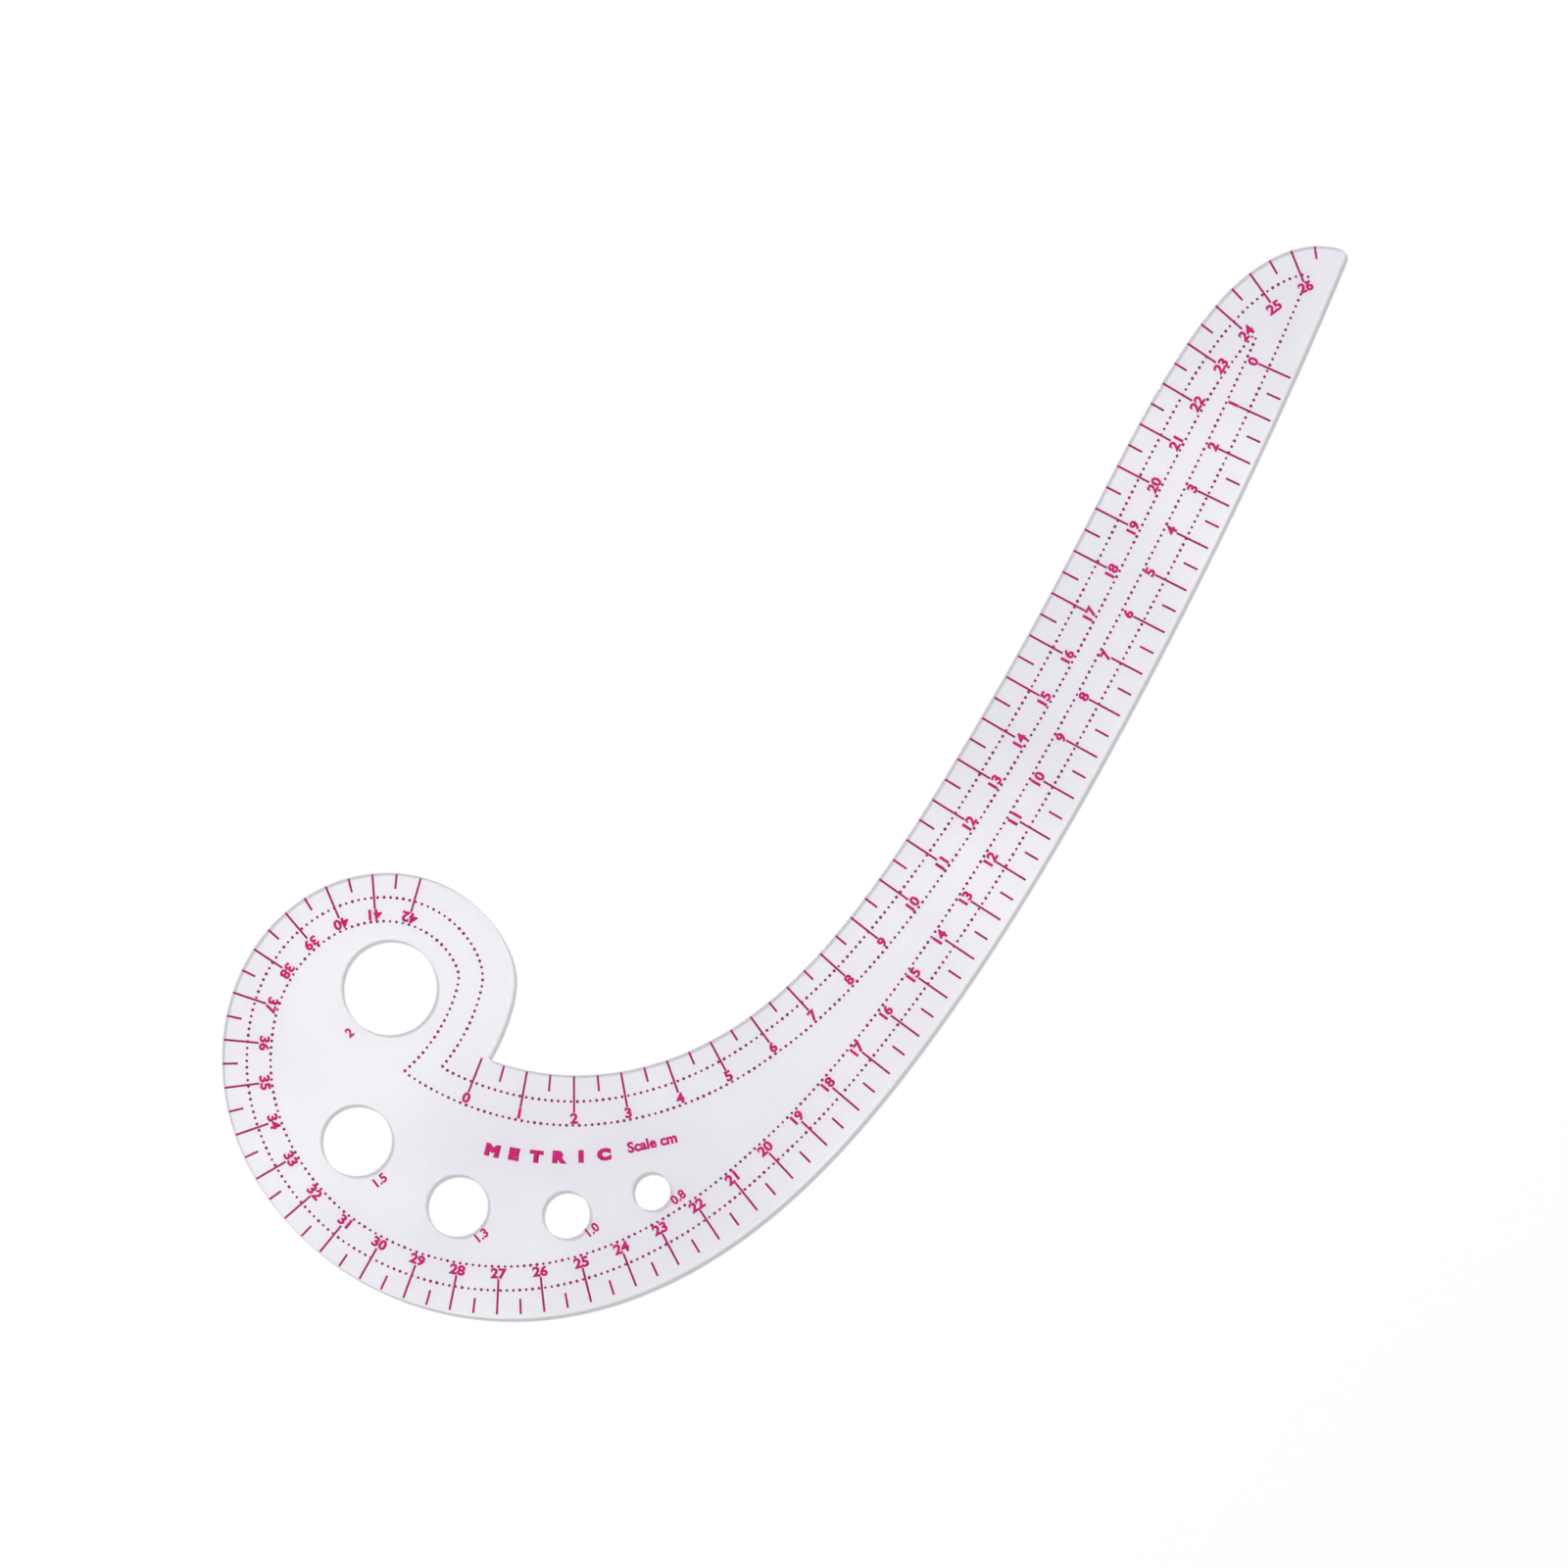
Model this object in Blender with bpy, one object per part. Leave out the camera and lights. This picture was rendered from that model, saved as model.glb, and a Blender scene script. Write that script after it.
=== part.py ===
"""French curve: one clear plastic sheet with five template holes, and its printed scales.

The sheet lies flat with its underside on z = 0. Its outline has two edges. Both start at the
notch, where the hook of the head meets the blade, and both end at the tip. The outer edge goes
up the neck, round the head and along the back of the blade. The inner edge goes straight across
the mouth of the hook and along the front of the blade. Arc lengths are measured from the notch.
"""
import math

import bmesh
import bpy
import numpy as np

# Sheet
SHEET_THICKNESS = 0.0015
EDGE_CHAMFER = 0.00025
TIP_RADIUS = 0.0015
NOTCH_RADIUS = 0.0006

# Outer edge: the head is a widening spiral, sized by the radius of its back
HEAD_RADIUS = 0.0459
# (arc length, radius of curvature), both as multiples of HEAD_RADIUS
HEAD_STATIONS = (
    (0.0, 1.0),
    (0.262, 0.93),
    (0.392, 0.30),
    (0.566, 0.55),
    (1.31, 0.673),
    (2.40, 1.0),
    (3.49, 1.314),
    (4.58, 1.492),
    (5.66, 2.61),
)
# Back of the blade: (share of the blade's length, radius of curvature)
BLADE_LENGTH = 0.2421
BLADE_STATIONS = ((0.207, 0.376), (0.578, 1.25), (1.0, 0.90))

# Inner edge: (share of its length, radius as a share of its length), left turns positive.
# It is laid from the notch to the tip, so only its shape is given here.
INNER_STATIONS = (
    (0.0, 0.1825),
    (0.1855, 0.249),
    (0.334, 0.731),
    (0.464, 2.91),
    (0.668, 2.97),
    (0.835, -0.668),
    (0.927, -0.133),
    (1.0, -0.051),
)
CHORD_TILT = math.radians(8.18)   # from the notch to the tip, above +X

# Template holes: (diameter, place along the outer edge in HEAD_RADIUS, share of the spare room
# between the far seam lines that is left behind the hole)
HOLES = (
    (0.020, 1.166, 0.417),
    (0.015, 3.198, 0.218),
    (0.013, 4.081, 0.270),
    (0.010, 4.817, 0.265),
    (0.008, 5.340, 0.248),
)
NECK_END = 0.4                      # of the neck along the outer edge, in HEAD_RADIUS
HOLE_SIDES = 48

# Print
NEAR_SEAM_DEPTH = 0.00565
FAR_SEAM_DEPTH = 0.01065
SEAM_LINE_WIDTH = 0.0004
PRINT_SHIFT = (-0.00025, 0.00075)   # the print is this far off the cut outline
PRINT_THICKNESS = 0.00005
PRINT_GAP = 0.00005                 # between the sheet and the print's solids
MARK_START = 0.0006                 # depth where a centimetre mark begins
MARK_LENGTH = 0.0074
MARK_WIDTH = 0.0004
MARK_EDGE_MARGIN = 0.0004           # a mark stays this far inside the cut edge
SCALE_PITCH = 0.010
SCALE_DEPTH = 0.0011                # the marks are evenly spaced along a line this far inside
OUTER_ZERO_FROM_TIP = 0.0289
OUTER_LAST_FROM_NOTCH = 1.0         # in HEAD_RADIUS, on the shoulder of the head
INNER_ZERO_FROM_NOTCH = -0.0004
INNER_LAST_FROM_TIP = 0.009
SCALE_LINE_OVERRUN = 0.001          # of the near seam line past the first and last mark

# Drawing accuracy
INTEGRATION_STEP = 0.00025
OVERRUN = 0.030                     # how far each edge is carried on past its ends
CORNER_REACH = 0.080                # how far from a corner two inner lines may cross
CORNER_POINTS = 1200
FRONT_POINTS = 500
ROOM_STEPS = 12
CHORD_ERROR = 0.00003
SHORTEST_STEP = 0.0015
LONGEST_STEP = 0.008


class Edge:
    """A smooth edge with its arc length, points and headings. The sheet is on one side of it."""

    def __init__(self, arc, points, headings, length, side):
        self.arc = arc
        self.points = points
        self.headings = headings
        self.length = length
        self.side = side

    def normal(self, s):
        """Unit vector into the sheet at arc length s."""
        heading = np.interp(s, self.arc, self.headings)
        return np.stack([-np.sin(heading), np.cos(heading)], axis=-1) * self.side

    def at(self, s, depth=0.0):
        """Point at arc length s, moved into the sheet by depth."""
        point = np.stack([np.interp(s, self.arc, self.points[:, axis]) for axis in (0, 1)], axis=-1)
        return point + self.normal(s) * depth

    def travel(self, s, depth):
        """Length from the notch to s, along the line at this depth."""
        turned = np.interp(s, self.arc, self.headings) - np.interp(0.0, self.arc, self.headings)
        return s - self.side * depth * turned

    def spaced(self, start, step, end):
        """Arc lengths from start towards end, evenly spaced along the line of the scale."""
        first, last = self.travel(np.array((start, end)), SCALE_DEPTH)
        places = np.arange(first, last, step)
        return np.interp(places, self.travel(self.arc, SCALE_DEPTH), self.arc)

    def moved(self, angle, scale, offset):
        """The same edge turned, scaled and then moved."""
        turn = np.array(((math.cos(angle), -math.sin(angle)), (math.sin(angle), math.cos(angle))))
        points = self.points @ turn.T * scale + offset
        return Edge(self.arc * scale, points, self.headings + angle, self.length * scale, self.side)


def drawn_edge(stations, side):
    """Edge from (arc length, radius) stations, with curvature changing evenly between them."""
    places = [place for place, radius in stations]
    curvatures = [1.0 / radius for place, radius in stations]
    length = places[-1]
    before = int(OVERRUN / INTEGRATION_STEP)
    count = int(round((length + OVERRUN) / INTEGRATION_STEP)) + before
    arc = (np.arange(count + 1) - before) * INTEGRATION_STEP
    curvature = np.interp(arc, places, curvatures)
    turned = np.cumsum((curvature[1:] + curvature[:-1]) / 2 * INTEGRATION_STEP)
    headings = np.concatenate([[0.0], turned])
    headings -= headings[before]
    middle = (headings[1:] + headings[:-1]) / 2
    steps = np.stack([np.cos(middle), np.sin(middle)], axis=1) * INTEGRATION_STEP
    points = np.concatenate([[[0.0, 0.0]], np.cumsum(steps, axis=0)])
    points -= points[before]
    return Edge(arc, points, headings, length, side)


def sheet_edges():
    """The outer and the inner edge, in the part's own frame."""
    head_end = HEAD_STATIONS[-1][0] * HEAD_RADIUS
    stations = [(place * HEAD_RADIUS, radius * HEAD_RADIUS) for place, radius in HEAD_STATIONS]
    stations += [(head_end + place * BLADE_LENGTH, radius) for place, radius in BLADE_STATIONS]
    outer = drawn_edge(stations, side=1)
    tip = outer.at(outer.length)
    chord = math.hypot(*tip)
    outer = outer.moved(CHORD_TILT - math.atan2(tip[1], tip[0]), 1.0, np.zeros(2))
    inner = drawn_edge([(place * chord, radius * chord) for place, radius in INNER_STATIONS], side=-1)
    end = inner.at(inner.length)
    inner = inner.moved(CHORD_TILT - math.atan2(end[1], end[0]), chord / math.hypot(*end), np.zeros(2))

    outline = outline_ring(outer, inner, 0.0)
    centre = (outline.min(axis=0) + outline.max(axis=0)) / 2
    return outer.moved(0.0, 1.0, -centre), inner.moved(0.0, 1.0, -centre)


def crossing(a, b):
    """Where two open lines of points cross: each crossing's place along both, in points."""
    da, db = np.diff(a, axis=0), np.diff(b, axis=0)
    gap = b[None, :-1] - a[:-1, None]
    cross = da[:, None, 0] * db[None, :, 1] - da[:, None, 1] * db[None, :, 0]
    along_a = (gap[..., 0] * db[None, :, 1] - gap[..., 1] * db[None, :, 0]) / cross
    along_b = (gap[..., 0] * da[:, None, 1] - gap[..., 1] * da[:, None, 0]) / cross
    hits = np.argwhere((along_a >= 0) & (along_a < 1) & (along_b >= 0) & (along_b < 1))
    return [(i + along_a[i, j], j + along_b[i, j]) for i, j in hits]


def notch_crossing(outer, inner, depth):
    """Arc lengths on both edges where their lines at this depth cross, by the notch."""
    s = np.linspace(-OVERRUN, CORNER_REACH, CORNER_POINTS)
    hits = crossing(outer.at(s, depth), inner.at(s, depth))
    places = max(hits, key=sum)
    return np.interp(places, np.arange(CORNER_POINTS), s)


def tip_crossing(outer, inner, depth):
    """Arc lengths on both edges where their lines at this depth cross, by the tip."""
    s = np.linspace(-CORNER_REACH, OVERRUN, CORNER_POINTS)
    hits = crossing(outer.at(outer.length + s, depth), inner.at(inner.length + s, depth))
    places = np.interp(min(hits, key=sum), np.arange(CORNER_POINTS), s)
    return places + (outer.length, inner.length)


def places_along(edge, start, end):
    """Arc lengths from start to end, closer together where the edge bends more."""
    places = [start]
    while True:
        s = places[-1]
        bend = abs(np.interp(s + SHORTEST_STEP, edge.arc, np.gradient(edge.headings, edge.arc)))
        step = math.sqrt(8 * CHORD_ERROR / max(bend, 1e-6))
        step = min(max(step, SHORTEST_STEP), LONGEST_STEP)
        if s + step * 1.5 >= end:
            return np.array(places + [end])
        places.append(s + step)


def arc_points(centre, start, end, radius, count=7):
    """Points of the short arc about centre between the directions of start and end, ends left out."""
    first = math.atan2(*(start - centre)[::-1])
    last = math.atan2(*(end - centre)[::-1])
    turn = (last - first + math.pi) % (2 * math.pi) - math.pi
    angles = first + turn * np.arange(1, count) / count
    return centre + radius * np.stack([np.cos(angles), np.sin(angles)], axis=1)


def outline_ring(outer, inner, inset):
    """Closed outline of the sheet, anticlockwise, moved into the sheet by inset."""
    outer_tip, inner_tip = tip_crossing(outer, inner, TIP_RADIUS)
    outer_notch, inner_notch = notch_crossing(outer, inner, -NOTCH_RADIUS)
    back = outer.at(places_along(outer, outer_notch, outer_tip), inset)
    front = inner.at(places_along(inner, inner_notch, inner_tip), inset)[::-1]
    tip_centre = outer.at(outer_tip, TIP_RADIUS)
    notch_centre = outer.at(outer_notch, -NOTCH_RADIUS)
    nose = arc_points(tip_centre, back[-1], front[0], TIP_RADIUS - inset)
    root = arc_points(notch_centre, front[-1], back[0], NOTCH_RADIUS + inset)
    return np.concatenate([back, nose, front, root])


def front_distance(outer, inner, point):
    """Distance from a point in the head to the neck or the inner edge, whichever is nearer."""
    neck = outer.at(np.linspace(0.0, NECK_END * HEAD_RADIUS, FRONT_POINTS))
    front = inner.at(np.linspace(0.0, inner.length, FRONT_POINTS))
    return np.hypot(*(np.concatenate([neck, front]) - point).T).min()


def hole_centre(outer, inner, diameter, place, share):
    """Centre of a template hole, with the spare room between the far seam lines shared out."""
    foot = place * HEAD_RADIUS
    closest = FAR_SEAM_DEPTH + diameter / 2
    depth = closest
    for _ in range(ROOM_STEPS):
        spare = depth + front_distance(outer, inner, outer.at(foot, depth)) - 2 * closest
        depth = closest + share * spare
    return outer.at(foot, depth)


def circle_ring(centre, radius):
    """Clockwise circle, so that the wall it makes faces into the hole."""
    angles = -2 * math.pi * np.arange(HOLE_SIDES) / HOLE_SIDES
    return centre + radius * np.stack([np.cos(angles), np.sin(angles)], axis=1)


def material(name, colour, roughness, alpha=1.0):
    """Principled material in one colour."""
    made = bpy.data.materials.new(name)
    made.use_nodes = True
    shader = made.node_tree.nodes["Principled BSDF"]
    shader.inputs["Base Color"].default_value = (*colour, 1.0)
    shader.inputs["Roughness"].default_value = roughness
    shader.inputs["Metallic"].default_value = 0.0
    shader.inputs["Alpha"].default_value = alpha
    return made


def new_object(name, bm, finish):
    """Object in the scene from a bmesh, with its faces pointing out."""
    bmesh.ops.recalc_face_normals(bm, faces=bm.faces)
    mesh = bpy.data.meshes.new(name)
    bm.to_mesh(mesh)
    bm.free()
    mesh.materials.append(finish)
    made = bpy.data.objects.new(name, mesh)
    bpy.context.scene.collection.objects.link(made)
    return made


def add_wall(bm, rings):
    """Quads between the rings, each a list of (x, y) points with its z. Returns the end edges."""
    levels = [[bm.verts.new((x, y, z)) for x, y in ring] for ring, z in rings]
    for lower, upper in zip(levels, levels[1:]):
        for i, corner in enumerate(lower):
            after = (i + 1) % len(lower)
            bm.faces.new((corner, lower[after], upper[after], upper[i]))
    ends = []
    for level in (levels[0], levels[-1]):
        ends.append([bm.edges.get((level[i - 1], level[i])) for i in range(len(level))])
    return ends


def make_sheet(outer, inner, finish):
    """The clear sheet: outline and holes with a small chamfer on every edge."""
    levels = (
        (EDGE_CHAMFER, 0.0),
        (0.0, EDGE_CHAMFER),
        (0.0, SHEET_THICKNESS - EDGE_CHAMFER),
        (EDGE_CHAMFER, SHEET_THICKNESS),
    )
    bm = bmesh.new()
    walls = [add_wall(bm, [(outline_ring(outer, inner, inset), z) for inset, z in levels])]
    for diameter, place, share in HOLES:
        centre = hole_centre(outer, inner, diameter, place, share)
        rings = [(circle_ring(centre, diameter / 2 + inset), z) for inset, z in levels]
        walls.append(add_wall(bm, rings))
    for end in (0, 1):
        edges = [edge for wall in walls for edge in wall[end]]
        bmesh.ops.triangle_fill(bm, use_beauty=True, use_dissolve=False, edges=edges)
    sheet = new_object("curve_plate", bm, finish)
    sheet.data.shade_smooth()
    sheet.data.set_sharp_from_angle(angle=math.radians(30))
    return sheet


def printed(edge, s, depth):
    """Point of the print at this depth inside an edge, with the print's shift."""
    return edge.at(s, depth) + np.array(PRINT_SHIFT)


def print_solid(name, quads, finish):
    """Thin closed solid over flat quads that share their corners."""
    bottom = SHEET_THICKNESS + PRINT_GAP
    bm = bmesh.new()
    for quad in quads:
        bm.faces.new([bm.verts.new((x, y, bottom)) for x, y in quad])
    bmesh.ops.remove_doubles(bm, verts=bm.verts, dist=1e-6)
    raised = bmesh.ops.extrude_face_region(bm, geom=bm.faces[:], use_keep_orig=True)
    top = [item for item in raised["geom"] if isinstance(item, bmesh.types.BMVert)]
    bmesh.ops.translate(bm, verts=top, vec=(0.0, 0.0, PRINT_THICKNESS))
    return new_object(name, bm, finish)


def mark_start(edge, s):
    """Depth where the mark at s begins: its own start, or just inside the cut edge."""
    toward_inside = float(edge.normal(s) @ np.array(PRINT_SHIFT))
    return max(MARK_START, MARK_EDGE_MARGIN - toward_inside)


def make_scale(name, edge, marks, finish):
    """Comb of centimetre marks on the near seam line, along the part of an edge they cover."""
    near = NEAR_SEAM_DEPTH - SEAM_LINE_WIDTH / 2
    deep = NEAR_SEAM_DEPTH + SEAM_LINE_WIDTH / 2
    half = MARK_WIDTH / 2
    quads = []

    def add_quad(first, last, depth_a, depth_b):
        ends = ((first, depth_a), (last, depth_a), (last, depth_b), (first, depth_b))
        quads.append([printed(edge, s, depth) for s, depth in ends])

    reached = marks[0] - half - SCALE_LINE_OVERRUN
    for mark in list(marks) + [None]:
        run_end = marks[-1] + half + SCALE_LINE_OVERRUN if mark is None else mark - half
        run = places_along(edge, reached, run_end)
        for first, last in zip(run, run[1:]):
            add_quad(first, last, near, deep)
        if mark is None:
            break
        first, last = mark - half, mark + half
        add_quad(first, last, near, deep)
        add_quad(first, last, mark_start(edge, mark), near)
        add_quad(first, last, deep, MARK_START + MARK_LENGTH)
        reached = last
    return print_solid(name, quads, finish)


def make_far_seam(outer, inner, finish):
    """Closed far seam line, a band between two lines that keep their distance to both edges."""
    base_outer = places_along(outer, 0.0, outer.length) / outer.length
    base_inner = places_along(inner, 0.0, inner.length) / inner.length
    rings = []
    for depth in (FAR_SEAM_DEPTH - SEAM_LINE_WIDTH / 2, FAR_SEAM_DEPTH + SEAM_LINE_WIDTH / 2):
        outer_tip, inner_tip = tip_crossing(outer, inner, depth)
        outer_notch, inner_notch = notch_crossing(outer, inner, depth)
        back = outer_notch + base_outer[:-1] * (outer_tip - outer_notch)
        front = inner_notch + base_inner[:0:-1] * (inner_tip - inner_notch)
        rings.append(np.concatenate([printed(outer, back, depth), printed(inner, front, depth)]))
    quads = []
    for i in range(len(rings[0])):
        quads.append([rings[0][i - 1], rings[0][i], rings[1][i], rings[1][i - 1]])
    return print_solid("far_seam_print", quads, finish)


def main():
    for old in list(bpy.data.objects):
        bpy.data.objects.remove(old)
    clear = material("clear_plastic", (0.83, 0.82, 0.86), 0.12, alpha=0.35)
    ink = material("rose_ink", (0.55, 0.10, 0.26), 0.55)
    outer, inner = sheet_edges()
    make_sheet(outer, inner, clear)
    outer_zero = outer.length - OUTER_ZERO_FROM_TIP
    outer_marks = outer.spaced(outer_zero, -SCALE_PITCH, OUTER_LAST_FROM_NOTCH * HEAD_RADIUS)[::-1]
    make_scale("outer_scale_print", outer, outer_marks, ink)
    inner_marks = inner.spaced(INNER_ZERO_FROM_NOTCH, SCALE_PITCH, inner.length - INNER_LAST_FROM_TIP)
    make_scale("inner_scale_print", inner, inner_marks, ink)
    make_far_seam(outer, inner, ink)


main()
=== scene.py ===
import math

import bmesh
import bpy
import numpy as np
from mathutils import Matrix, Vector


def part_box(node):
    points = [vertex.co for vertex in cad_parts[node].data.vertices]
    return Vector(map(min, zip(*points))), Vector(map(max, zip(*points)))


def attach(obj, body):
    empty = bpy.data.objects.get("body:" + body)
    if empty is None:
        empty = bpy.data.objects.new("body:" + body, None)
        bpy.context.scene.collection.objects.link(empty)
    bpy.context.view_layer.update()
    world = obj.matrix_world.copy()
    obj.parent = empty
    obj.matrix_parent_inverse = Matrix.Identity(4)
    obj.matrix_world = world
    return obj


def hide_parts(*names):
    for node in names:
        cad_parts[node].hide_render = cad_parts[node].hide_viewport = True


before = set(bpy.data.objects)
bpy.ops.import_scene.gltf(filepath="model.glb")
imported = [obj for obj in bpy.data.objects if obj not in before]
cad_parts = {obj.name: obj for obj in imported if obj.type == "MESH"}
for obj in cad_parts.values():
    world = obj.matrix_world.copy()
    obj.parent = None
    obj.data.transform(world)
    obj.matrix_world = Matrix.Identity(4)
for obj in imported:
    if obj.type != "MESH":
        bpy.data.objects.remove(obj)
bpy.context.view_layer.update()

bl_info = {
    "name": "Printed French Curve",
    "version": (1, 0, 0),
    "blender": (4, 5, 0),
    "location": "3D View > Sidebar > French Curve",
    "description": "Builds a clear plastic french curve with its printed scales, stitch lines and labels",
    "category": "Add Mesh",
}

# ---------------------------------------------------------------- outline
# The sheet's outline has two edges. Both start at the notch, where the hook of the head meets
# the blade, and both end at the tip. Arc lengths are measured from the notch.

SHEET_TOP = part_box("curve_plate")[1].z
EDGE_ROUND = 0.00025              # radius of the rounded rims
ROUND_STEPS = 4
RIM_LAND = 0.0004                 # flat ring beside each rim, which keeps the face's shading even
HOLE_SIDES = 128
TIP_RADIUS = 0.0015
NOTCH_RADIUS = 0.0006

HEAD_RADIUS = 0.0459
# (arc length, radius of curvature), both as multiples of HEAD_RADIUS
HEAD_STATIONS = (
    (0.0, 1.0),
    (0.262, 0.93),
    (0.392, 0.30),
    (0.566, 0.55),
    (1.31, 0.673),
    (2.40, 1.0),
    (3.49, 1.314),
    (4.58, 1.492),
    (5.66, 2.61),
)
# Back of the blade: (share of the blade's length, radius of curvature)
BLADE_LENGTH = 0.2421
BLADE_STATIONS = ((0.207, 0.376), (0.578, 1.25), (1.0, 0.90))
# Inner edge: (share of its length, radius as a share of its length), left turns positive
INNER_STATIONS = (
    (0.0, 0.1825),
    (0.1855, 0.249),
    (0.334, 0.731),
    (0.464, 2.91),
    (0.668, 2.97),
    (0.835, -0.668),
    (0.927, -0.133),
    (1.0, -0.051),
)
CHORD_TILT = math.radians(8.18)   # from the notch to the tip, above +X

# Template holes: (diameter, centre)
HOLES = (
    (0.020, (-0.10327, 0.02985)),
    (0.015, (-0.12737, 0.00752)),
    (0.013, (-0.11791, -0.01587)),
    (0.010, (-0.10025, -0.03052)),
    (0.008, (-0.08276, -0.03681)),
)

INTEGRATION_STEP = 0.00025
OVERRUN = 0.030                   # how far each edge is carried on past its ends
CORNER_REACH = 0.080              # how far from a corner two inner lines may cross
CORNER_POINTS = 1200              # on each line where a crossing is looked for
PARALLEL = 1e-18                  # two steps whose cross product is smaller count as parallel
MERGE_DISTANCE = 1e-7             # between corners of a letter that are the same point

# ---------------------------------------------------------------- print
NEAR_LINE_DEPTH = 0.00565
FAR_LINE_DEPTH = 0.01065
# The screen was laid a little off the cut outline, and its own curves differ a little from it.
PRINT_SHIFT = np.array((-0.00025, 0.00075))
# How the print drifts from the outline: (arc length, further along, further in)
OUTER_DRIFT = (
    (0.000, 0.0, 0.0004),
    (0.048, 0.0, 0.0),
    (0.110, 0.0006, 0.0004),
    (0.160, 0.0011, -0.0006),
    (0.215, 0.0006, 0.0),
    (0.240, 0.0006, 0.0006),
    (0.270, 0.0008, 0.0011),
    (0.320, 0.0008, 0.0003),
    (0.350, 0.0005, 0.0),
    (0.400, 0.0001, -0.0002),
    (0.473, -0.0005, -0.0009),
)
INNER_DRIFT = (
    (0.000, 0.0, 0.0002),
    (0.020, 0.0, 0.0004),
    (0.058, -0.0001, -0.0003),
    (0.085, -0.0004, 0.0002),
    (0.118, -0.0003, 0.0011),
    (0.150, -0.0002, 0.0013),
    (0.208, -0.0002, 0.0005),
    (0.222, -0.0005, 0.0002),
    (0.250, -0.0009, 0.0006),
    (0.260, -0.0011, 0.0007),
)
# Near the tip the inner marks lean towards it and get shorter: (arc length, angle, share of length)
INNER_TIP = np.array(((0.250, 0.0, 1.0), (0.259, 0.15, 0.90), (0.264, 0.21, 0.71)))
SCALE_PITCH = 0.010
SCALE_DEPTH = 0.0011              # the marks are evenly spaced along a line this far inside
MARK_START = {"outer": 0.0006, "inner": 0.0}   # depth where the marks of each scale begin
NUMERAL_DEPTH = 0.0092
OUTER_ZERO_FROM_TIP = 0.0289
OUTER_LAST = 42
INNER_ZERO_FROM_NOTCH = -0.0004
INNER_LAST = 26
INK_GAP = 0.00001                 # between the sheet and the ink
# Thickness of each kind of ink. Where two cross, the thicker one shows.
STITCH_THICKNESS = 0.00003
MARK_THICKNESS = 0.000035
LETTER_THICKNESS = 0.00004
# Lettering: how far its strokes are thickened, in the typeface's own units, and its widening
NUMERAL_WEIGHT = {"boldness": 0.05, "widening": 1.12}
LABEL_WEIGHT = {"boldness": 0.04, "widening": 1.0}
TITLE_WEIGHT = {"boldness": 0.10, "widening": 1.25}
SUBTITLE_WEIGHT = {"boldness": 0.045, "widening": 1.0}
# Size of each template hole in centimetres, and the middle of its label
HOLE_LABELS = (
    ("2", (-0.11549, 0.02675)),
    ("1.5", (-0.12794, -0.00228)),
    ("1.3", (-0.11714, -0.02395)),
    ("1.0", (-0.09741, -0.03632)),
    ("0.8", (-0.07880, -0.04110)),
)
LABEL_UP = math.radians(93.0)     # direction of the labels' upright, from +X
# The title follows the inner edge: each letter, its arc length and its depth
TITLE_LETTERS = (
    ("M", 0.0058, 0.0180),
    ("E", 0.0092, 0.0178),
    ("T", 0.0127, 0.0176),
    ("R", 0.0164, 0.0173),
    ("I", 0.0198, 0.0171),
    ("C", 0.0235, 0.0169),
)
SUBTITLE = ("Scale cm", 0.03155, 0.01595)

# ---------------------------------------------------------------- view
VIEW_MIDDLE = Vector((-0.01085, 0.01711, 0.0))
VIEW_WIDTH = 0.3293               # what the camera takes in, at the height of the floor
VIEW_TURN = math.radians(-35.03)  # the view's right-hand direction, from +X
CAMERA_HEIGHT = 1.8
LIGHT_DISTANCE = 6.0
LIGHT_SIDE = math.radians(135.0)  # direction of the soft box, from the view's right-hand side
FLOOR_HALF = 8.0
FLOOR_GAP = 0.00002               # between the floor and the underside of the sheet


class Edge:
    """A smooth edge with its arc length, points and headings. The sheet is on one side of it."""

    def __init__(self, arc, points, headings, length, side):
        self.arc = arc
        self.points = points
        self.headings = headings
        self.length = length
        self.side = side
        self.drift = np.array(OUTER_DRIFT if side > 0 else INNER_DRIFT)

    def normal(self, s):
        """Unit vector into the sheet at arc length s."""
        heading = np.interp(s, self.arc, self.headings)
        return np.stack([-np.sin(heading), np.cos(heading)], axis=-1) * self.side

    def at(self, s, depth=0.0):
        """Point at arc length s, moved into the sheet by depth."""
        point = np.stack([np.interp(s, self.arc, self.points[:, axis]) for axis in (0, 1)], axis=-1)
        return point + self.normal(s) * np.expand_dims(depth, -1)

    def printed(self, s, depth):
        """Point of the print that belongs to arc length s and this depth."""
        along, further_in = (np.interp(s, self.drift[:, 0], self.drift[:, i]) for i in (1, 2))
        return self.at(s + along, depth + further_in) + PRINT_SHIFT

    def travel(self, s, depth):
        """Length from the notch to s, along the line at this depth."""
        turned = np.interp(s, self.arc, self.headings) - np.interp(0.0, self.arc, self.headings)
        return s - self.side * depth * turned

    def spaced(self, start, step, count):
        """Arc lengths of count places from start, evenly spaced along the line of the scale."""
        places = self.travel(start, SCALE_DEPTH) + step * np.arange(count)
        return np.interp(places, self.travel(self.arc, SCALE_DEPTH), self.arc)

    def moved(self, angle, scale, offset):
        """The same edge turned, scaled and then moved."""
        turn = np.array(((math.cos(angle), -math.sin(angle)), (math.sin(angle), math.cos(angle))))
        points = self.points @ turn.T * scale + offset
        return Edge(self.arc * scale, points, self.headings + angle, self.length * scale, self.side)


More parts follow.
